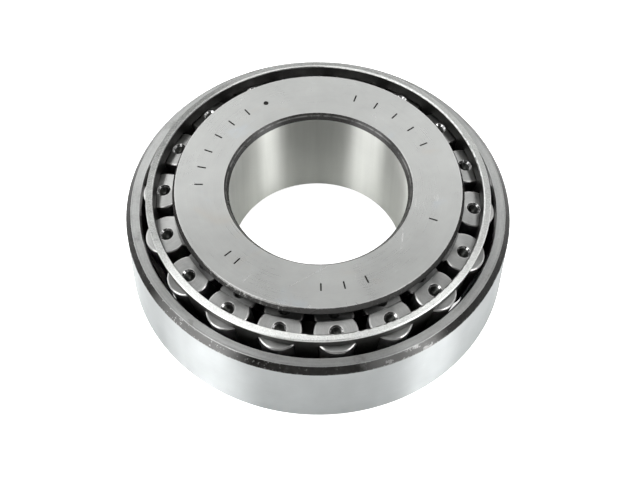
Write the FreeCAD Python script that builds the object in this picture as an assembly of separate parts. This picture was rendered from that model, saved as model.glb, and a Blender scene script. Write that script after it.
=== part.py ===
import FreeCAD, Part
import math
import os

# Single-row tapered roller bearing: separable cup, cone, stamped cage and 18 tapered rollers.
# +Z is the bearing axis; the origin is on it, in the plane of the cup's back face.
# The bearing lies on a bench: the cup's back face and the cone's front face are both at z = 0,
# so cone, cage and rollers stand seat_lift above their seated place, clear of the cup.
# Lengths are in millimetres, angles in degrees unless noted. An "_r" ending means radius.

Vector = FreeCAD.Vector
ORIGIN = Vector(0, 0, 0)
AXIS = Vector(0, 0, 1)

# ---- boundary dimensions ----
bore_d = 38.100
outside_d = 82.931
cone_width = 25.400
cup_width = 19.050
assembled_width = 23.8125      # seated: cup back face to cone back face

# ---- rollers ----
roller_count = 18
roller_half_taper = 1.534      # half of the included taper
roller_axis_angle = 11.066     # roller axis to bearing axis
roller_large_r = 4.65          # at the large end, before the corner
roller_length = 16.60
roller_end_z = 20.66           # height of the large end's centre
roller_end_sphere_r = 165.0    # the large end is a very shallow sphere
roller_corner_r = 0.38
dimple_r = 1.48                # centre dimple in the large end
dimple_depth = 0.95
dimple_floor_r = 0.55
dimple_rim_r = 0.12            # rounding of the dimple's rim

# ---- cup ----
cup_chamfer_radial = 1.10      # outer chamfer at the front face
cup_chamfer_axial = 1.68
cup_chamfer_edge_r = 0.15      # where the chamfer meets the outside
cup_front_edge_r = 0.40        # where the chamfer meets the front face
cup_back_corner_r = 0.90
cup_front_lip = 0.40           # edge break between raceway and front face, radial
cup_front_lip_axial = 1.3 * cup_front_lip
cup_front_lip_r = 0.10
cup_back_lip = 0.60            # edge break between raceway and back face, axial
cup_back_lip_radial = 0.7 * cup_back_lip
cup_race_edge_r = 0.25         # rounding at both ends of the raceway

# ---- cone ----
rib_r = 31.10                  # large rib, outside
rib_chamfer_radial = 0.57
rib_chamfer_axial = 1.30
small_rib_r = 27.20
small_rib_chamfer_radial = 0.50
small_rib_chamfer_axial = 0.75
small_rib_edge_r = 0.20        # where that chamfer meets the small rib's outside
bore_back_chamfer_radial = 1.04
bore_back_chamfer_axial = 1.35
bore_front_chamfer = 0.70
race_gap = 0.020               # roller to cone race
rib_gap = 0.055                # roller large end to rib face
small_rib_gap = 0.45
race_foot_z = 4.9              # heights that set the race radii at its two corners
race_head_z = 21.6
undercut_depth = 0.32
undercut_width = 1.05
cone_edge_r = 0.15             # front face edges, bore edges and the large rib's chamfer
cone_back_edge_r = 0.12        # edges of the back face
race_edge_r = 0.12             # race to undercut
rib_edge_r = 0.25              # rib face to rib outside, both ribs
small_undercut_r = 0.25
large_undercut_r = 0.22

# ---- cage ----
sheet = 1.62                   # sheet thickness, normal to the wall
cage_top_r = 36.90             # outside corner of the rim, cut square across the sheet
cage_top_z = 23.05
cage_bottom_z = 0.62
cage_flange_r = 27.75          # bore of the inward flange at the small end
cage_flange_edge_r = 0.35
cage_bend_inner_r = 0.95
cage_rim_edge_r = 0.32
pocket_gap = 0.20              # all round a roller in its pocket
pocket_end_gap = 0.28
pocket_corner_r = 0.55

# ---- index marks on the cone's back face ----
tick_depth = 0.12              # also the depth of the dot
tick_width = 0.34
tick_length = 1.90
tick_corner_r = 0.45 * tick_width
tick_r = 25.45                 # bearing axis to the middle of a tick
# (middle angle, number of ticks, pitch angle)
tick_groups = (
    (157.4, 6, 10.3),
    (52.8, 5, 11.2),
    (344.2, 1, 0.0),
    (285.6, 3, 10.8),
    (229.7, 2, 6.0),
)
dot_angle = 120.8
dot_r = 0.55

# ---- raceway geometry: the rollers, the cage pockets and the seated races share one apex ----
tilt = math.radians(roller_axis_angle)
taper = math.radians(roller_half_taper)
race_tilt = tilt - taper       # cone race to bearing axis, radians
seat_lift = cone_width - assembled_width
large_end = roller_large_r / math.tan(taper)    # apex to large end, along the roller axis
small_end = large_end - roller_length
apex_z = roller_end_z - large_end * math.cos(tilt)
apex_z_seated = apex_z - seat_lift


def on_roller_axis(distance):
    """(radius, height) at a distance from the apex along the roller axis."""
    return distance * math.sin(tilt), apex_z + distance * math.cos(tilt)


def cup_race_r(z):
    return (z - apex_z_seated) * math.tan(tilt + taper)


def cone_race_r(z):
    return (z - apex_z) * math.tan(race_tilt) - race_gap / math.cos(race_tilt)


def square_face_z(radius, distance):
    """Height, at a radius, of the face that crosses the roller axis squarely at a distance."""
    axis_r, axis_z = on_roller_axis(distance)
    return axis_z - (radius - axis_r) * math.tan(tilt)


def rib_face_z(radius):
    return square_face_z(radius, large_end + rib_gap)


def small_rib_face_z(radius):
    return square_face_z(radius, small_end - small_rib_gap)


# ---- drawing helpers, all in the XZ plane ----
def arc_about(centre, start, end):
    """The shorter arc from start to end about a centre."""
    towards = (start - centre) + (end - centre)
    towards.normalize()
    middle = centre + towards * (start - centre).Length
    return Part.Arc(start, middle, end).toShape()


def round_corner(corner, before, after, radius):
    """Arc centre, start and end for a corner between two neighbouring points."""
    to_before = before - corner
    to_after = after - corner
    to_before.normalize()
    to_after.normalize()
    half_angle = to_before.getAngle(to_after) / 2
    reach = radius / math.tan(half_angle)
    bisector = to_before + to_after
    bisector.normalize()
    centre = corner + bisector * (radius / math.sin(half_angle))
    return centre, corner + to_before * reach, corner + to_after * reach


def outline(points):
    """Closed wire through (radius, height, corner radius) points."""
    places = [Vector(r, 0, z) for r, z, _ in points]
    count = len(points)
    corners = []
    for i, place in enumerate(places):
        radius = points[i][2]
        if radius > 0:
            corners.append(round_corner(place, places[i - 1], places[(i + 1) % count], radius))
        else:
            corners.append((None, place, place))
    edges = []
    for i, (centre, start, end) in enumerate(corners):
        if centre is not None:
            edges.append(arc_about(centre, start, end))
        next_start = corners[(i + 1) % count][1]
        edges.append(Part.makeLine(end, next_start))
    return Part.Wire(edges)


def turned(points):
    """Body of revolution about the bearing axis."""
    body = Part.Face(outline(points)).revolve(ORIGIN, AXIS, 360)
    # The outline's direction can turn the body inside out.
    if body.Volume < 0:
        body.reverse()
    return body


def placed(body, number):
    """Copy of a body drawn on the roller's own axis, moved to one roller position."""
    copy = body.copy()
    foot_r, foot_z = on_roller_axis(small_end)
    copy.rotate(ORIGIN, Vector(0, 1, 0), roller_axis_angle)
    copy.translate(Vector(foot_r, 0, foot_z))
    copy.rotate(ORIGIN, AXIS, 360.0 / roller_count * number)
    return copy


# ---- pieces ----
def make_cup():
    outer_r = outside_d / 2
    race_front_z = cup_width - cup_front_lip_axial
    return turned([
        (cup_race_r(0) + cup_back_lip_radial, 0, 0),
        (outer_r, 0, cup_back_corner_r),
        (outer_r, cup_width - cup_chamfer_axial, cup_chamfer_edge_r),
        (outer_r - cup_chamfer_radial, cup_width, cup_front_edge_r),
        (cup_race_r(cup_width) + cup_front_lip, cup_width, cup_front_lip_r),
        (cup_race_r(race_front_z), race_front_z, cup_race_edge_r),
        (cup_race_r(cup_back_lip), cup_back_lip, cup_race_edge_r),
    ])


def make_marks():
    """Cutters for the ticks, long side radial, and the round dot."""
    height = 2 * tick_depth
    base_z = cone_width - tick_depth
    marks = []
    for middle, count, pitch in tick_groups:
        for k in range(count):
            corner = Vector(tick_r - tick_length / 2, -tick_width / 2, base_z)
            tick = Part.makeBox(tick_length, tick_width, height, corner)
            upright = [edge for edge in tick.Edges
                       if abs(edge.Vertexes[0].Point.z - edge.Vertexes[1].Point.z) > tick_depth]
            tick = tick.makeFillet(tick_corner_r, upright)
            tick.rotate(ORIGIN, AXIS, middle + (k - (count - 1) / 2) * pitch)
            marks.append(tick)
    dot = Part.makeCylinder(dot_r, height, Vector(tick_r, 0, base_z), AXIS)
    dot.rotate(ORIGIN, AXIS, dot_angle)
    marks.append(dot)
    return Part.makeCompound(marks)


def make_cone():
    bore_r = bore_d / 2
    foot_r = cone_race_r(race_foot_z)
    head_r = cone_race_r(race_head_z)
    low_undercut_r = foot_r - undercut_depth
    high_undercut_r = head_r - undercut_depth
    race_low = small_rib_face_z(foot_r) + undercut_width
    race_high = rib_face_z(head_r) - undercut_width
    slant_low = race_low - undercut_depth      # floor ends of the undercuts' slanted sides
    slant_high = race_high + undercut_depth
    body = turned([
        (bore_r, bore_front_chamfer, cone_edge_r),
        (bore_r + bore_front_chamfer, 0, cone_edge_r),
        (small_rib_r - small_rib_chamfer_radial, 0, cone_edge_r),
        (small_rib_r, small_rib_chamfer_axial, small_rib_edge_r),
        (small_rib_r, small_rib_face_z(small_rib_r), rib_edge_r),
        (low_undercut_r, small_rib_face_z(low_undercut_r), small_undercut_r),
        (cone_race_r(race_low) - undercut_depth, slant_low, small_undercut_r),
        (cone_race_r(race_low), race_low, race_edge_r),
        (cone_race_r(race_high), race_high, race_edge_r),
        (cone_race_r(slant_high) - undercut_depth, slant_high, large_undercut_r),
        (high_undercut_r, rib_face_z(high_undercut_r), large_undercut_r),
        (rib_r, rib_face_z(rib_r), rib_edge_r),
        (rib_r, cone_width - rib_chamfer_axial, cone_edge_r),
        (rib_r - rib_chamfer_radial, cone_width, cone_back_edge_r),
        (bore_r + bore_back_chamfer_radial, cone_width, cone_back_edge_r),
        (bore_r, cone_width - bore_back_chamfer_axial, cone_edge_r),
    ])
    return body.cut(make_marks())


def sphere_corner(sphere_centre, start, way, inward, radius):
    """Arc centre, flank point and end point of a corner between a flank and the spherical end.

    The flank runs from start along the unit vector way; inward points into the steel.
    """
    offset = start + inward * radius - sphere_centre
    lead = offset.dot(way)
    centre_sphere_r = roller_end_sphere_r - radius
    travel = -lead + math.sqrt(lead ** 2 - offset.dot(offset) + centre_sphere_r ** 2)
    offset = offset + way * travel
    centre = sphere_centre + offset
    on_sphere = sphere_centre + offset * (roller_end_sphere_r / offset.Length)
    return centre, centre - inward * radius, on_sphere


def make_roller():
    """Roller standing on its small end, about its own axis."""
    sphere_centre = Vector(0, 0, roller_length - roller_end_sphere_r)

    # flank, with a corner at each end; the small end is flat
    heel = Vector(small_end * math.tan(taper), 0, 0)
    flank_way = Vector(math.sin(taper), 0, math.cos(taper))
    flank_inward = Vector(-math.cos(taper), 0, math.sin(taper))
    heel_centre, heel_start, heel_end = round_corner(
        heel, ORIGIN, heel + flank_way, roller_corner_r)
    top_centre, top_start, top_end = sphere_corner(
        sphere_centre, heel, flank_way, flank_inward, roller_corner_r)

    # dimple: straight-sided cone with a spherical floor tangent to it, and a rounded rim
    dimple_way = Vector(dimple_r - dimple_floor_r, 0, dimple_depth)
    dimple_way.normalize()
    dimple_inward = Vector(dimple_way.z, 0, -dimple_way.x)
    floor_edge = Vector(dimple_floor_r, 0, roller_length - dimple_depth)
    rim_centre, rim_low, rim_high = sphere_corner(
        sphere_centre, floor_edge, dimple_way, dimple_inward, dimple_rim_r)
    floor_sphere_r = dimple_floor_r / dimple_way.z
    floor_centre = Vector(0, 0, floor_edge.z + floor_sphere_r * dimple_way.x)
    floor_tip = Vector(0, 0, floor_centre.z - floor_sphere_r)

    profile = Part.Wire([
        Part.makeLine(ORIGIN, heel_start),
        arc_about(heel_centre, heel_start, heel_end),
        Part.makeLine(heel_end, top_start),
        arc_about(top_centre, top_start, top_end),
        arc_about(sphere_centre, top_end, rim_high),
        arc_about(rim_centre, rim_high, rim_low),
        Part.makeLine(rim_low, floor_edge),
        arc_about(floor_centre, floor_edge, floor_tip),
        Part.makeLine(floor_tip, ORIGIN),
    ])
    return Part.Face(profile).revolve(ORIGIN, AXIS, 360)


def make_pocket_cutter():
    """The roller's shape grown by the pocket gaps, drawn about the roller's own axis."""
    bottom = -pocket_end_gap
    top = roller_length + pocket_end_gap
    grow = pocket_gap / math.cos(taper)
    bottom_r = (small_end + bottom) * math.tan(taper) + grow
    top_r = (small_end + top) * math.tan(taper) + grow
    cutter = Part.makeCone(bottom_r, top_r, top - bottom, Vector(0, 0, bottom), AXIS)
    circles = [edge for edge in cutter.Edges if isinstance(edge.Curve, Part.Circle)]
    circles.sort(key=lambda edge: edge.Curve.Center.z)
    return cutter.makeFillet(pocket_corner_r, circles)


def make_cage():
    """Conical sheet wall with an inward flange at the small end and a pocket per roller."""
    def wall_outer_r(z):
        return cage_top_r - (cage_top_z - z) * math.tan(tilt)

    flange_top_z = cage_bottom_z + sheet
    wall_inner_r = wall_outer_r(flange_top_z) - sheet / math.cos(tilt)
    rim_inner_r = cage_top_r - sheet * math.cos(tilt)
    rim_inner_z = cage_top_z + sheet * math.sin(tilt)
    body = turned([
        (cage_flange_r, cage_bottom_z, cage_flange_edge_r),
        (wall_outer_r(cage_bottom_z), cage_bottom_z, cage_bend_inner_r + sheet),
        (cage_top_r, cage_top_z, cage_rim_edge_r),
        (rim_inner_r, rim_inner_z, cage_rim_edge_r),
        (wall_inner_r, flange_top_z, cage_bend_inner_r),
        (cage_flange_r, flange_top_z, cage_flange_edge_r),
    ])
    cutter = make_pocket_cutter()
    return body.cut(Part.makeCompound([placed(cutter, k) for k in range(roller_count)]))


# ---- one file per piece ----
pieces = {"cup": make_cup(), "cone": make_cone(), "cage": make_cage()}
roller = make_roller()
for k in range(roller_count):
    pieces["roller_%02d" % (k + 1)] = placed(roller, k)

os.makedirs("parts", exist_ok=True)
for name, body in pieces.items():
    # A cut can wrap its single solid in a compound.
    if len(body.Solids) == 1:
        body = body.Solids[0]
    body.exportStep("parts/%s.step" % name)
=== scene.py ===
"""Looks for a tapered roller bearing: cup, cone, cage and 18 rollers about the +Z axis.

Every shape is the CAD's. This script gives each CAD node a procedural steel, and adds a floor,
soft studio light and a camera on the -Y side. Lengths are in millimetres unless noted.
"""
import math

import bpy
from mathutils import Matrix, Vector


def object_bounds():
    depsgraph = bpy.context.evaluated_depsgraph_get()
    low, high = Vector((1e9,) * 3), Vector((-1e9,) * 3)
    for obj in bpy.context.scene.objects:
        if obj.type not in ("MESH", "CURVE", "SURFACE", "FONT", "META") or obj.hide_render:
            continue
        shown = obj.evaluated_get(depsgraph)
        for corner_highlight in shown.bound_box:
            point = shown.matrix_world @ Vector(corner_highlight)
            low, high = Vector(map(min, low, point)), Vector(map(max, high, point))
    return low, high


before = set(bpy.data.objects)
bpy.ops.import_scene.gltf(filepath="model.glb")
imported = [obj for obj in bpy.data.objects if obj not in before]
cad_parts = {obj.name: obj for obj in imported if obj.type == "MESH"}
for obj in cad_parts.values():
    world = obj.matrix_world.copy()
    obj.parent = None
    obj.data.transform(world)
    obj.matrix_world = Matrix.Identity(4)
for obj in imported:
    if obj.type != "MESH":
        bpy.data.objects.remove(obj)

cad_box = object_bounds()

MM = 0.001                          # metres in a millimetre
STUDIO_TURN = math.radians(2.77)    # turn of the camera and light panels about +Z


# ---------------------------------------------------------------------------------------------
# Node language: Val is a number and Vec a vector or colour. Operators on them add nodes.
# ---------------------------------------------------------------------------------------------
class Socket:
    """Output of a node, which can be fed to another node of the same tree."""

    def __init__(self, node, output=0):
        self.out = node.outputs[output]
        self.tree = node.id_data


class Val(Socket):
    def __add__(self, other):
        return calc("ADD", self, other)

    def __radd__(self, other):
        return calc("ADD", other, self)

    def __sub__(self, other):
        return calc("SUBTRACT", self, other)

    def __rsub__(self, other):
        return calc("SUBTRACT", other, self)

    def __mul__(self, other):
        return calc("MULTIPLY", self, other)

    def __truediv__(self, other):
        return calc("DIVIDE", self, other)


class Vec(Socket):
    def __add__(self, other):
        return vector_calc("ADD", self, other)

    def __sub__(self, other):
        return vector_calc("SUBTRACT", self, other)

    def __mul__(self, factor):
        return Vec(make("ShaderNodeVectorMath", {0: self, "Scale": factor}, operation="SCALE"))


def make(kind, inputs, **settings):
    """New node in the tree of its inputs, which are Sockets to link or plain values to set."""
    tree = next(value.tree for value in inputs.values() if isinstance(value, Socket))
    node = tree.nodes.new(kind)
    for name, value in settings.items():
        setattr(node, name, value)
    for slot, value in inputs.items():
        if isinstance(value, Socket):
            tree.links.new(value.out, node.inputs[slot])
        else:
            node.inputs[slot].default_value = value
    return node


def calc(operation, *args, clamp=False):
    inputs = dict(enumerate(args))
    return Val(make("ShaderNodeMath", inputs, operation=operation, use_clamp=clamp))


def vector_calc(operation, *args):
    return Vec(make("ShaderNodeVectorMath", dict(enumerate(args)), operation=operation))


def dot(first, second):
    inputs = {0: first, 1: second}
    return Val(make("ShaderNodeVectorMath", inputs, operation="DOT_PRODUCT"), "Value")


def clip(value):
    """Value held between 0 and 1."""
    return calc("ADD", value, 0.0, clamp=True)


def most(first, second):
    return calc("MAXIMUM", first, second)


def step(value, zero_at, one_at):
    """0 up to zero_at, 1 from one_at, smooth between; zero_at may be the larger."""
    inputs = dict(enumerate((value, zero_at, one_at, 0.0, 1.0)))
    return Val(make("ShaderNodeMapRange", inputs, interpolation_type="SMOOTHSTEP", clamp=True))


def band(value, low, high, soft):
    """1 between low and high, falling to 0 over soft on each side."""
    return step(value, low - soft, low) * step(value, high + soft, high)


def join(x, y, z):
    return Vec(make("ShaderNodeCombineXYZ", {0: x, 1: y, 2: z}))


def noise(point, scale=1.0, detail=3.0, rough=0.6, distort=0.0):
    inputs = {"Vector": point, "Scale": scale, "Detail": detail, "Roughness": rough,
              "Distortion": distort}
    return Val(make("ShaderNodeTexNoise", inputs, noise_dimensions="3D"))


def cells(point, scale, feature="F1"):
    inputs = {"Vector": point, "Scale": scale}
    return Val(make("ShaderNodeTexVoronoi", inputs, feature=feature), "Distance")


def mix(factor, first, second):
    """From first to second, which are numbers, or colours given as (r, g, b) or Vec."""
    if isinstance(first, (tuple, Vec)) or isinstance(second, (tuple, Vec)):
        first, second = ((*c, 1.0) if isinstance(c, tuple) else c for c in (first, second))
        inputs = {0: factor, 6: first, 7: second}
        return Vec(make("ShaderNodeMix", inputs, data_type="RGBA", clamp_factor=True), 2)
    inputs = {0: factor, 2: first, 3: second}
    return Val(make("ShaderNodeMix", inputs, data_type="FLOAT", clamp_factor=True))


def varied(base, *swings):
    """Base plus, for each (noise, amount), the noise centred on 0 times the amount."""
    for pattern, amount in swings:
        base = base + (pattern - 0.5) * amount
    return base


def grey(tone):
    return join(tone, tone, tone)


def tinted(tone, tint):
    return vector_calc("MULTIPLY", grey(tone), tint)


def new_material(name):
    material = bpy.data.materials.new(name)
    material.use_nodes = True
    material.node_tree.nodes.clear()
    return material


def object_point(tree):
    """Place on the object, in millimetres."""
    return Vec(tree.nodes.new("ShaderNodeTexCoord"), "Object") * 1000.0


def camera_ray(tree):
    return Val(tree.nodes.new("ShaderNodeLightPath"), "Is Camera Ray")


class Steel:
    """Material of one CAD node, with coordinates about that node's own axis.

    point is the place in the object and local the place from the origin; height runs along
    the axis and radius away from it; cos and sin give the direction round it.
    """

    def __init__(self, name, origin=(0, 0, 0), axis=(0, 0, 1), side=(1, 0, 0)):
        self.material = new_material(name)
        tree = self.material.node_tree
        axis, side = Vector(axis).normalized(), Vector(side)
        side = (side - axis * side.dot(axis)).normalized()
        self.point = object_point(tree)
        self.local = self.point - tuple(origin)
        x = dot(self.local, tuple(side))
        y = dot(self.local, tuple(axis.cross(side)))
        self.height = dot(self.local, tuple(axis))
        self.radius = calc("SQRT", x * x + y * y)
        self.cos, self.sin = x / self.radius, y / self.radius
        # the tangent lies in the surface, square to the rings round the axis
        ring = vector_calc("CROSS_PRODUCT", tuple(axis), self.local)
        ring = Vec(make("ShaderNodeVectorTransform", {0: ring}, vector_type="VECTOR",
                        convert_from="OBJECT", convert_to="WORLD"))
        self.normal = Vec(tree.nodes.new("ShaderNodeNewGeometry"), "Normal")
        across = vector_calc("CROSS_PRODUCT", self.normal, ring)
        self.tangent = vector_calc("NORMALIZE", across)

    def ring_noise(self, turns, radial=0.0, axial=0.0, shift=0.0, **texture):
        """Noise in rings: turns is its rate round the axis, radial and axial its other rates."""
        across = self.radius * radial + self.height * axial + shift
        return noise(join(self.cos * turns + shift, self.sin * turns, across), **texture)

    def sector(self, azimuth, outer, inner):
        """1 within inner degrees of the azimuth, 0 past outer."""
        angle = math.radians(azimuth)
        towards = self.cos * math.cos(angle) + self.sin * math.sin(angle)
        return step(towards, math.cos(math.radians(outer)), math.cos(math.radians(inner)))

    def finish(self, colour, rough, grain, bump, depth, metallic=1.0, gloss=0.30, lean=None):
        """Shader: grain is the anisotropy, depth the bump's, lean a normal to bump from."""
        inputs = {"Strength": 1.0, "Distance": MM * depth, "Height": bump}
        if lean is not None:
            inputs["Normal"] = lean
        normal = Vec(make("ShaderNodeBump", inputs))
        shader = Socket(make("ShaderNodeBsdfPrincipled", {
            "Base Color": colour, "Roughness": rough, "Metallic": metallic,
            "Anisotropic": grain, "Specular IOR Level": gloss, "Tangent": self.tangent,
            "Normal": normal}))
        make("ShaderNodeOutputMaterial", {0: shader})
        return self.material


def dress(name, material):
    """Give a CAD node this material only."""
    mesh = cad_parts[name].data
    mesh.materials.clear()
    mesh.materials.append(material)
    for polygon in mesh.polygons:
        polygon.material_index = 0


# ---------------------------------------------------------------------------------------------
# Cup: ground wall and top face, black scale in the top outer chamfer, polished inside
# ---------------------------------------------------------------------------------------------
CUP_HEIGHT = 19.05
CUP_FACE_RADIUS = 40.3655     # top face to chamfer
CUP_WALL_TOP = 17.37          # outer wall to chamfer


def cup_wall_colour(steel, cloud, lines):
    """Slightly cool, with soft drawn-out clouds and faint rub marks."""
    drawn_out = join(steel.cos * 41.0, steel.sin * 41.0, steel.height * 0.22)
    drops = noise(drawn_out, scale=0.16, detail=2.0, rough=0.5)
    tone = varied(0.55, (drops, 0.14), (lines, 0.10), (cloud, 0.10))
    rub = step(steel.ring_noise(30.0, axial=0.8, detail=4.0, rough=0.7), 0.60, 0.72)
    return mix(rub * 0.25, tinted(tone, (0.962, 1.0, 1.005)), (0.62, 0.64, 0.645))


def cup_face_colour(steel, lines, streak, stain):
    """Greyer, with streaks round the axis and smudges, and painted highlight along its inner
    edge and over two stretches round the axis.
    """
    smudge = noise(steel.point, scale=0.055, rough=0.55, distort=0.6)
    speckle = noise(steel.point, scale=2.4, rough=0.7)
    tone = varied(0.37, (speckle, 0.15), (lines, 0.20), (streak, 0.22), (smudge, 0.12))
    # painted highlight: a lighter line along the face's inner edge; the outer edge is made a
    # little darker
    inner_edge = step(steel.radius, 38.75, 38.45)
    outer_edge = band(steel.radius, 40.05, 40.6, soft=0.2)
    tone = tone + inner_edge * 0.12 - outer_edge * 0.06
    # painted highlight: lighter over two stretches round the axis
    painted_sheen = (steel.sector(148.0, outer=36.0, inner=14.0) * 0.16
             + steel.sector(40.0, outer=30.0, inner=10.0) * 0.06)
    colour = tinted(tone + painted_sheen, (0.985, 1.0, 0.985))
    return mix(stain * 0.45, colour, (0.17, 0.166, 0.155))


def cup_chamfer(steel):
    """Colour and bareness: black scale, bare along both edges and in small chips."""
    point = steel.point
    along = (steel.height - CUP_WALL_TOP) / (CUP_HEIGHT - CUP_WALL_TOP)
    ragged = steel.ring_noise(95.0, detail=4.0, rough=0.7)
    patchy = noise(point, scale=0.28)
    low_edge = step(varied(along, (ragged, 0.50), (patchy, 0.30)), 0.10, 0.00)
    high_edge = step(varied(along, (ragged, 0.40), (patchy, 0.40)), 0.96, 1.04)
    knocked = steel.sector(-117.0, outer=34.0, inner=12.0)
    chip_noise = noise(point, scale=1.5, detail=4.0, rough=0.65)
    chips = step(chip_noise + knocked * 0.06 + patchy * 0.06, 0.68, 0.78)
    rubbed = step(noise(point, scale=0.55, detail=4.0, rough=0.65), 0.54, 0.68)
    handled = (steel.sector(-125.0, outer=20.0, inner=9.0)
               + steel.sector(-60.0, outer=15.0, inner=5.0))
    bare = clip(low_edge * 0.7 + high_edge * 0.8 + chips * 0.7 + rubbed * 0.05
                + handled * (0.38 + rubbed * 0.50))
    mottle = noise(point, scale=0.9, detail=4.0, rough=0.7)
    tone = varied(0.011, (mottle, 0.022), (patchy, 0.016))
    return mix(bare, tinted(tone, (1.03, 1.0, 0.95)), (0.30, 0.30, 0.295)), bare


def cup_steel():
    steel = Steel("cup_steel")
    point, radius, height = steel.point, steel.radius, steel.height
    cloud = noise(point, scale=0.16)
    fine = steel.ring_noise(60.0, radial=9.0, axial=9.0)
    wall_lines = steel.ring_noise(3.0, axial=11.0, detail=4.0, rough=0.65)
    face_lines = steel.ring_noise(4.0, radial=7.0, shift=3.0, detail=4.0, rough=0.65)
    streak = steel.ring_noise(9.0, radial=1.3, shift=11.0)
    stain = step(steel.ring_noise(7.0, radial=0.35, shift=5.0, detail=4.0, distort=0.5),
                 0.56, 0.70)

    # where each surface is
    wall = step(height, CUP_WALL_TOP + 0.06, CUP_WALL_TOP - 0.04) * step(radius, 40.9, 41.2)
    face = (step(height, CUP_HEIGHT - 0.12, CUP_HEIGHT - 0.03)
            * step(radius, CUP_FACE_RADIUS + 0.02, CUP_FACE_RADIUS - 0.10))
    chamfer = clip(step(height, CUP_WALL_TOP - 0.05, CUP_WALL_TOP + 0.05)
                   * step(radius, CUP_FACE_RADIUS - 0.04, CUP_FACE_RADIUS + 0.04))
    inside = step(radius, 39.4, 39.2) * step(height, 18.85, 18.75) * step(height, 0.35, 0.55)

    chamfer_colour, bare = cup_chamfer(steel)
    colour = mix(wall, (0.40, 0.40, 0.395), cup_wall_colour(steel, cloud, wall_lines))
    colour = mix(inside, colour, (0.52, 0.52, 0.515))
    colour = mix(face, colour, cup_face_colour(steel, face_lines, streak, stain))
    colour = mix(chamfer, colour, chamfer_colour)

    rough = mix(wall, 0.34, varied(0.40, (cloud, 0.06), (wall_lines, 0.06)))
    rough = mix(inside, rough, varied(0.14, (fine, 0.06)))
    rough = mix(face, rough, varied(0.47, (streak, 0.14)) + stain * 0.08)
    rough = mix(chamfer, rough, varied(0.16 + bare * 0.15, (noise(point, scale=1.1), 0.16)))
    grain = clip(wall * 0.97 + face * 0.92 + inside * 0.5) * (1.0 - chamfer)
    crust = noise(point, scale=2.2, detail=4.0, rough=0.7)
    bump = (mix(wall, face_lines, wall_lines) * (1.0 - chamfer) * 0.30 + fine * 0.15
            + chamfer * (crust * 1.2 - bare * 0.5))
    return steel.finish(colour, rough, grain, bump, depth=0.012,
                        metallic=1.0 - chamfer * (1.0 - bare), gloss=0.30 - chamfer * 0.19)


# ---------------------------------------------------------------------------------------------
# Cone: satin top face with black ticks, bore with painted light growing towards its bottom,
# polished rib, dark edges beside the top face
# ---------------------------------------------------------------------------------------------
CONE_HEIGHT = 25.4
BORE_RADIUS, BORE_EDGE_Z = 19.05, 24.05
RIB_RADIUS, RIB_EDGE_Z = 31.10, 24.10
FACE_INNER, FACE_OUTER = 20.09, 30.53

# a long hairline and a short nick by the rib: start x, y, end x, y, half width
LONE_SCRATCHES = (
    (-3.94, -25.41, 4.22, -19.34, 0.07),
    (9.62, -28.75, 10.90, -29.75, 0.13),
)


def cone_scratches(steel, patch):
    """Fine scratches in patches, and the two lone ones."""
    point = steel.point
    stretched = vector_calc("MULTIPLY", point, (0.06, 0.011, 0.06))
    scratch = step(cells(stretched, scale=9.0, feature="DISTANCE_TO_EDGE"), 0.008, 0.002)
    scratch = scratch * step(patch, 0.60, 0.68)
    for x0, y0, x1, y1, width in LONE_SCRATCHES:
        length = math.hypot(x1 - x0, y1 - y0)
        way_x, way_y = (x1 - x0) / length, (y1 - y0) / length
        along = dot(point, (way_x, way_y, 0.0)) - (x0 * way_x + y0 * way_y)
        aside = dot(point, (-way_y, way_x, 0.0)) - (y0 * way_x - x0 * way_y)
        aside = calc("ABSOLUTE", varied(aside, (patch, 0.5)))
        line = step(aside, width, width * 0.4) * band(along, 0.0, length, soft=0.5)
        broken = step(noise(point, scale=0.9, detail=2.0, rough=0.5), 0.36, 0.50)
        scratch = most(scratch, line * broken)
    return scratch


def cone_face_colour(steel, cloud, patch, rings, scratch):
    """Light satin with warm and cool stains, brighter scratches and ragged bright edges."""
    point, radius = steel.point, steel.radius
    tone = varied(0.34, (cloud, 0.09), (rings, 0.05), (patch, 0.07))
    colour = tinted(tone, (0.985, 1.0, 0.978))
    warm = step(noise(point, scale=0.10, distort=0.8), 0.60, 0.74)
    cool = step(noise(point + (31.0, 7.0, 0.0), scale=0.12, distort=0.8), 0.60, 0.74)
    colour = mix(warm * 0.35, colour, (0.35, 0.325, 0.285))
    colour = mix(cool * 0.35, colour, (0.335, 0.365, 0.40))
    outer_rag = steel.ring_noise(70.0, detail=4.0, rough=0.7)
    inner_rag = steel.ring_noise(50.0, shift=9.0, detail=4.0, rough=0.7)
    outer_edge = step(varied(radius, (outer_rag, 0.30)), FACE_OUTER - 0.26, FACE_OUTER - 0.10)
    inner_edge = step(varied(radius, (inner_rag, 0.25)), FACE_INNER + 0.20, FACE_INNER + 0.06)
    colour = mix(scratch * 0.5, colour, (0.50, 0.50, 0.50))
    return mix(clip(outer_edge + inner_edge) * 0.5, colour, (0.46, 0.46, 0.455))


def cone_edges(steel, patch):
    """Colour and bareness of the dark edge at the bore, then of the one at the rib."""
    height = steel.height
    tone = varied(0.024, (patch, 0.020), (steel.ring_noise(25.0, axial=2.0), 0.022))
    dark = tinted(tone, (1.02, 1.0, 0.96))
    knocked = steel.sector(-117.0, outer=26.0, inner=8.0)
    nick = steel.ring_noise(55.0, axial=1.2, detail=4.0, rough=0.75)
    worn = step(varied(height, (nick, 0.7)) + knocked * 0.35,
                CONE_HEIGHT - 0.14, CONE_HEIGHT - 0.02)
    line = (band(height, CONE_HEIGHT - 0.62, CONE_HEIGHT - 0.50, soft=0.10)
            * step(steel.ring_noise(9.0), 0.36, 0.60))
    bare_bore = clip(line * 0.30 + worn * 0.20)
    bare_rib = clip(worn * 0.6 + step(nick + knocked * 0.14, 0.69, 0.78) * 0.8)
    return (mix(bare_bore, dark, (0.42, 0.42, 0.41)), bare_bore,
            mix(bare_rib, dark, (0.50, 0.50, 0.49)), bare_rib)


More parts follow.
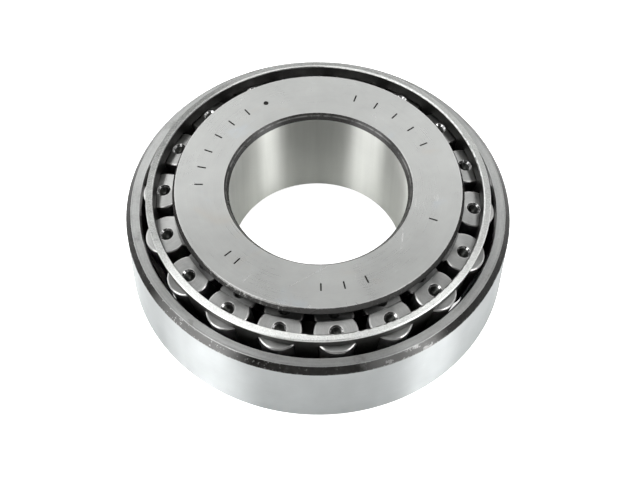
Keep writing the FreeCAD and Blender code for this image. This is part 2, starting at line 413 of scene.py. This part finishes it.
def cone_steel():
    steel = Steel("cone_steel")
    point, radius, height = steel.point, steel.radius, steel.height
    cloud = noise(point, scale=0.07, rough=0.55, distort=0.5)
    patch = noise(point, scale=0.22, detail=4.0, distort=0.4)
    fine = steel.ring_noise(70.0, radial=12.0, axial=12.0)
    rings = steel.ring_noise(2.0, radial=8.0, detail=4.0, rough=0.65)
    wall_lines = steel.ring_noise(2.0, axial=9.0, shift=4.0, detail=4.0, rough=0.65)
    drag = noise(join(steel.cos * 19.0, steel.sin * 19.0, height * 0.05), scale=0.45)

    # where each surface is
    face = step(height, CONE_HEIGHT - 0.05, CONE_HEIGHT - 0.02)
    tick = (step(height, CONE_HEIGHT - 0.035, CONE_HEIGHT - 0.07)
            * band(radius, 24.35, 26.55, soft=0.1) * step(height, 25.2, 25.25))
    bore = step(radius, BORE_RADIUS + 0.10, BORE_RADIUS + 0.03)
    bore_edge = (step(height, BORE_EDGE_Z - 0.05, BORE_EDGE_Z + 0.05)
                 * step(radius, FACE_INNER + 0.02, FACE_INNER - 0.06))
    rib = step(radius, RIB_RADIUS - 0.10, RIB_RADIUS - 0.03)
    rib_edge = (step(height, RIB_EDGE_Z - 0.04, RIB_EDGE_Z + 0.06)
                * step(radius, FACE_OUTER - 0.04, FACE_OUTER + 0.04))
    race = step(height, 21.0, 20.6) * step(height, 3.5, 4.0) * step(radius, 19.5, 19.7)

    scratch = cone_scratches(steel, patch)
    dark_bore, bare_bore, dark_rib, bare_rib = cone_edges(steel, patch)
    # painted light: the bore's colour is made lighter towards its bottom, standing in for light
    # reaching down the bore
    bore_tone_with_painted_light = varied(0.56 + step(height, 24.0, 3.0) * 0.25, (wall_lines, 0.08), (drag, 0.16))
    bore_colour = join(bore_tone_with_painted_light * 0.985, bore_tone_with_painted_light, bore_tone_with_painted_light * 0.955)
    rib_tone = varied(0.11, (wall_lines, 0.06), (patch, 0.10))
    race_tone = varied(0.50, (fine, 0.06))
    colour = mix(bore, (0.38, 0.38, 0.375), bore_colour)
    colour = mix(rib, colour, grey(rib_tone))
    colour = mix(race, colour, mix(rib, grey(race_tone), grey(rib_tone)))
    colour = mix(bore, colour, bore_colour)
    colour = mix(rib_edge, colour, dark_rib)
    colour = mix(bore_edge, colour, dark_bore)
    colour = mix(face, colour, cone_face_colour(steel, cloud, patch, rings, scratch))
    colour = mix(tick, colour, (0.030, 0.029, 0.028))

    rough = mix(bore, 0.33, varied(0.47, (drag, 0.06), (wall_lines, 0.04)))
    rough = mix(rib, rough, varied(0.13, (fine, 0.05)))
    rough = mix(clip(rib_edge + bore_edge), rough, varied(0.27, (patch, 0.14)))
    rough = mix(face, rough, varied(0.29, (cloud, 0.08), (rings, 0.08)) - scratch * 0.1)
    rough = mix(tick, rough, 0.6)
    grain = (clip(face * 0.45 + bore * 1.0 + rib * 0.3)
             * (1.0 - clip(rib_edge + bore_edge + tick)))
    metal = 1.0 - clip(rib_edge * (1.0 - bare_rib) + bore_edge * (1.0 - bare_bore))
    bump = (mix(face, wall_lines, rings) * 0.28 + fine * 0.15 - scratch * 0.8
            + clip(rib_edge + bore_edge) * noise(point, scale=2.4, rough=0.7) * 0.8)
    return steel.finish(colour, rough, grain, bump, depth=0.010, metallic=metal)


# ---------------------------------------------------------------------------------------------
# Cage: tumbled sheet steel, light on its top rim and dark down its wall
# ---------------------------------------------------------------------------------------------
CAGE_TOP_RADIUS, CAGE_TOP_Z = 36.90, 23.05
AXIS_ANGLE = math.radians(11.066)     # lean of the roller axes; the cage rim is cut to it


def cage_steel():
    steel = Steel("cage_steel")
    point = steel.point
    speck = noise(point, scale=3.2, rough=0.65)
    pits = step(cells(point, scale=2.6), 0.20, 0.05)
    cloud = noise(point, scale=0.30, detail=4.0)
    drawn = steel.ring_noise(45.0, axial=0.25)
    # the rim is cut square across the sheet; below is 0 on the cut and grows down the wall
    cos, sin = math.cos(AXIS_ANGLE), math.sin(AXIS_ANGLE)
    below = ((CAGE_TOP_Z * cos + CAGE_TOP_RADIUS * sin)
             - (steel.height * cos + steel.radius * sin))
    rim = step(varied(below, (cloud, 0.35)), 0.62, 0.22)
    # painted highlight over the front stretch of the rim and painted shade over the left one
    painted_highlight_front = steel.sector(-90.0, outer=64.0, inner=44.0)
    painted_shade_left = steel.sector(170.0, outer=55.0, inner=25.0)
    bright_tone = varied(0.62 + painted_highlight_front * 0.10 - painted_shade_left * 0.31, (speck, 0.62), (cloud, 0.16))
    wall_tone = varied(0.10, (speck, 0.05), (cloud, 0.05), (drawn, 0.03))
    colour = mix(rim, tinted(wall_tone, (1.0, 0.99, 0.96)),
                 tinted(bright_tone, (0.985, 1.0, 0.975)))
    colour = mix(pits * 0.6, colour, (0.20, 0.195, 0.19))
    rough = mix(rim, varied(0.46, (cloud, 0.16)), varied(0.36, (speck, 0.16)))
    bump = speck * 1.0 - pits * 1.0 + cloud * 0.4
    # the rim's normals lean outwards
    outwards = join(steel.cos, steel.sin, 0.0) * (rim * 0.19)
    lean = vector_calc("NORMALIZE", steel.normal + outwards)
    return steel.finish(colour, rough, grain=0.0, bump=bump, depth=0.020, lean=lean)


# ---------------------------------------------------------------------------------------------
# Rollers: ground top ends with a dark centre dimple, lined flanks; each a little different
# ---------------------------------------------------------------------------------------------
ROLLERS = 18
ROLLER_RADIUS = 4.65                 # at the large end
HALF_TAPER = math.radians(1.534)
END_Z = 20.66                        # centre of the large end
DIMPLE_RADIUS = 1.48


def roller_steel(index):
    azimuth = 2 * math.pi * index / ROLLERS
    cos, sin = math.cos(azimuth), math.sin(azimuth)
    reach = ROLLER_RADIUS / math.tan(HALF_TAPER) * math.sin(AXIS_ANGLE)
    steel = Steel("roller_steel_%02d" % (index + 1),
                  origin=(reach * cos, reach * sin, END_Z),
                  axis=(math.sin(AXIS_ANGLE) * cos, math.sin(AXIS_ANGLE) * sin,
                        math.cos(AXIS_ANGLE)),
                  side=(-sin, cos, 0.0))
    radius, height = steel.radius, steel.height
    lightness = (index * 7 % 18) / 18.0
    shift = 10.0 + 13.0 * index       # gives each roller its own part of the noises
    moved = steel.local + (shift, 0.0, -shift)
    cloud = noise(moved, scale=0.35, distort=0.5)
    speck = noise(moved, scale=3.0, rough=0.65)
    rings = steel.ring_noise(1.5, radial=9.0, shift=shift, detail=4.0, rough=0.65)
    side_lines = steel.ring_noise(1.5, axial=8.0, shift=shift, detail=4.0, rough=0.65)

    # height is 0 at the large end; the dimple sinks below it
    end = step(height, -0.30, -0.14)
    corner_highlight = band(radius, 4.28, 4.52, soft=0.08) * step(height, -0.6, -0.4)
    pit = (step(radius, DIMPLE_RADIUS + 0.02, DIMPLE_RADIUS - 0.12)
           * step(height, -1.6, -1.4))
    wavy_height = varied(height, (steel.ring_noise(2.2, shift=shift), 0.30))
    deep = pit * step(wavy_height, -0.30, -0.44)
    lip_highlight = (band(radius, DIMPLE_RADIUS - 0.04, DIMPLE_RADIUS + 0.14, soft=0.06)
           * step(height, -1.0, -0.8))
    scuff = step(noise(moved, scale=0.8, detail=4.0, rough=0.7, distort=1.0), 0.58, 0.68)

    end_tone = varied(0.27 + 0.03 * lightness, (cloud, 0.16), (rings, 0.16))
    end_colour = mix(scuff * 0.40, tinted(end_tone, (0.99, 1.0, 0.98)), (0.24, 0.23, 0.215))
    deep_tone = varied(0.065, (speck, 0.06), (cloud, 0.04))
    colour = mix(end, grey(varied(0.60, (side_lines, 0.08))), end_colour)
    # painted highlight: the rounded corner of the end and the lip of the dimple are made lighter
    colour = mix(corner_highlight * 0.7, colour, (0.50, 0.50, 0.49))
    colour = mix(lip_highlight * 0.5, colour, (0.46, 0.46, 0.45))
    colour = mix(pit, colour, grey(varied(0.56, (speck, 0.12))))
    colour = mix(deep, colour, tinted(deep_tone, (0.97, 1.0, 0.94)))

    rough = mix(end, varied(0.30, (side_lines, 0.08)),
                varied(0.31, (cloud, 0.10), (rings, 0.08)))
    rough = mix(pit, rough, varied(0.20, (speck, 0.04)))
    rough = mix(deep, rough, varied(0.40, (speck, 0.12)))
    grain = mix(end, 0.25, 0.82) * (1.0 - pit)
    bump = mix(end, side_lines, rings) * 0.30 + speck * (0.12 + deep * 0.8)
    return steel.finish(colour, rough, grain, bump, depth=0.010)


# ---------------------------------------------------------------------------------------------
# Floor: pale paper that glows to the camera only
# ---------------------------------------------------------------------------------------------
FLOOR_HALF = 6.0          # metres
FLOOR_GAP = 0.00002       # metres below the CAD


def floor_paper():
    material = new_material("floor_paper")
    tree = material.node_tree
    tone = varied(0.86, (noise(object_point(tree), scale=0.6), 0.02))
    paper = Socket(make("ShaderNodeBsdfDiffuse", {"Color": join(tone, tone, tone * 0.995)}))
    glow = Socket(make("ShaderNodeEmission", {
        "Color": (1, 1, 1, 1), "Strength": camera_ray(tree) * 0.88}))
    both = Socket(make("ShaderNodeAddShader", {0: paper, 1: glow}))
    make("ShaderNodeOutputMaterial", {0: both})
    return material


def add_floor():
    mesh = bpy.data.meshes.new("studio_floor")
    half, z = FLOOR_HALF, cad_box[0].z - FLOOR_GAP
    corners = [(-half, -half, z), (half, -half, z), (half, half, z), (-half, half, z)]
    mesh.from_pydata(corners, [], [(0, 1, 2, 3)])
    mesh.materials.append(floor_paper())
    floor = bpy.data.objects.new("studio_floor", mesh)
    bpy.context.scene.collection.objects.link(floor)


# ---------------------------------------------------------------------------------------------
# Light: soft panels all round, as brightness by direction; the brightest panel wins
# ---------------------------------------------------------------------------------------------
# Angles in degrees; azimuth -90 is the camera's side and 0 its right. Columns:
# level, azimuth, half width at full, half width at none, top, softness above it
# [, bottom, softness below it [, level at the table as a share of full]]
PANELS = (
    (4.6, -146.0, 13.0, 24.0, 55.0, 17.0),                   # large box, front left
    (5.1, -32.0, 9.0, 16.0, 50.0, 9.0),                      # large box, front right
    (4.6, 158.0, 12.0, 22.0, 9.0, 9.0),                      # low strip, left
    (2.2, 17.0, 8.0, 16.0, 9.0, 9.0),                        # low strip, right
    (1.7, 160.0, 22.0, 36.0, 32.0, 14.0),                    # side wall, left
    (1.3, 6.0, 18.0, 34.0, 30.0, 14.0),                      # side wall, right
    (2.6, 90.0, 26.0, 46.0, 50.0, 9.0, 42.0, 6.0),           # panel over the back
    (3.6, 124.0, 12.0, 28.0, 49.0, 8.0, 40.0, 6.0),          # its left end
    (2.5, 58.0, 8.0, 22.0, 47.0, 8.0, 38.0, 6.0),            # its right end
    (1.3, 113.0, 7.0, 18.0, 38.0, 8.0, 20.0, 8.0),           # lower back screen, left
    (1.2, 66.0, 7.0, 18.0, 38.0, 8.0, 20.0, 8.0),            # lower back screen, right
    (1.6, 166.0, 13.0, 24.0, 60.0, 6.0, 50.0, 5.0),          # high screen, left
    (2.1, 16.0, 13.0, 24.0, 62.0, 6.0, 50.0, 5.0),           # high screen, right
    (0.28, 90.0, 95.0, 125.0, 90.0, 5.0),                    # dim walls, back and sides
    (0.5, -88.0, 12.0, 34.0, 18.0, 10.0, None, None, 1.4),   # low glow in front
    (2.1, 90.0, 14.0, 36.0, 90.0, 5.0, 68.0, 6.0),           # overhead, back
)
FOOT_TOP = 24.0             # elevation where a panel's foot reaches full level
ZENITH_LEVEL = 2.1
DARK_LEVEL = 0.03           # between the panels
BACKDROP_LEVEL = 1.06       # what the camera sees


def panel(direction, up, level, azimuth, inner, outer, top, top_soft,
          bottom=None, bottom_soft=None, foot=1.0):
    """Brightness of one row of PANELS."""
    turn = math.radians(azimuth) + STUDIO_TURN
    x = dot(direction, (math.cos(turn), math.sin(turn), 0.0))
    y = dot(direction, (-math.sin(turn), math.cos(turn), 0.0))
    angle = calc("ABSOLUTE", calc("ARCTAN2", y, x))
    shape = step(angle, math.radians(outer), math.radians(inner)) * step(up, top + top_soft, top)
    if bottom is not None:
        shape = shape * step(up, bottom - bottom_soft, bottom)
    if foot != 1.0:
        shape = shape * mix(step(up, 0.0, FOOT_TOP), foot, 1.0)
    return shape * level


def add_world():
    world = bpy.data.worlds.new("studio")
    world.use_nodes = True
    bpy.context.scene.world = world
    tree = world.node_tree
    tree.nodes.clear()
    direction = Vec(tree.nodes.new("ShaderNodeTexCoord"), "Generated")
    up = calc("ARCSINE", dot(direction, (0.0, 0.0, 1.0))) * (180.0 / math.pi)
    level = DARK_LEVEL
    for row in PANELS:
        level = most(level, panel(direction, up, *row))
    level = most(level, step(up, 70.0, 80.0) * ZENITH_LEVEL)
    light = Socket(make("ShaderNodeBackground", {
        "Color": (1, 1, 1, 1), "Strength": mix(camera_ray(tree), level, BACKDROP_LEVEL)}))
    make("ShaderNodeOutputWorld", {0: light})


# ---------------------------------------------------------------------------------------------
# Camera: looks down from the -Y side
# ---------------------------------------------------------------------------------------------
CAMERA_PITCH, CAMERA_ROLL = math.radians(55.548), math.radians(-1.114)
# the object's origin from the camera: to its right, down and ahead
ORIGIN_RIGHT, ORIGIN_DOWN, ORIGIN_AHEAD = -0.589, 2.914, 338.083
SENSOR_WIDTH, LENS = 36.0, 84.1026375


def add_camera():
    level_right = Vector((1, 0, 0))
    level_down = Vector((0, -math.sin(CAMERA_PITCH), -math.cos(CAMERA_PITCH)))
    ahead = Vector((0, math.cos(CAMERA_PITCH), -math.sin(CAMERA_PITCH)))
    cos, sin = math.cos(CAMERA_ROLL), math.sin(CAMERA_ROLL)
    right = level_right * cos + level_down * sin
    down = level_down * cos - level_right * sin
    place = -(right * ORIGIN_RIGHT + down * ORIGIN_DOWN + ahead * ORIGIN_AHEAD)
    turn = Matrix.Rotation(STUDIO_TURN, 3, "Z")
    data = bpy.data.cameras.new("camera")
    data.sensor_width, data.lens = SENSOR_WIDTH, LENS
    data.clip_start, data.clip_end = 0.01, 50.0
    camera = bpy.data.objects.new("camera", data)
    bpy.context.scene.collection.objects.link(camera)
    pose = Matrix((turn @ right, turn @ -down, turn @ -ahead)).transposed().to_4x4()
    pose.translation = (turn @ place) * MM
    camera.matrix_world = pose
    bpy.context.scene.camera = camera


dress("cup", cup_steel())
dress("cone", cone_steel())
dress("cage", cage_steel())
for index in range(ROLLERS):
    dress("roller_%02d" % (index + 1), roller_steel(index))
add_floor()
add_world()
add_camera()
bpy.context.scene.view_settings.view_transform = "Standard"
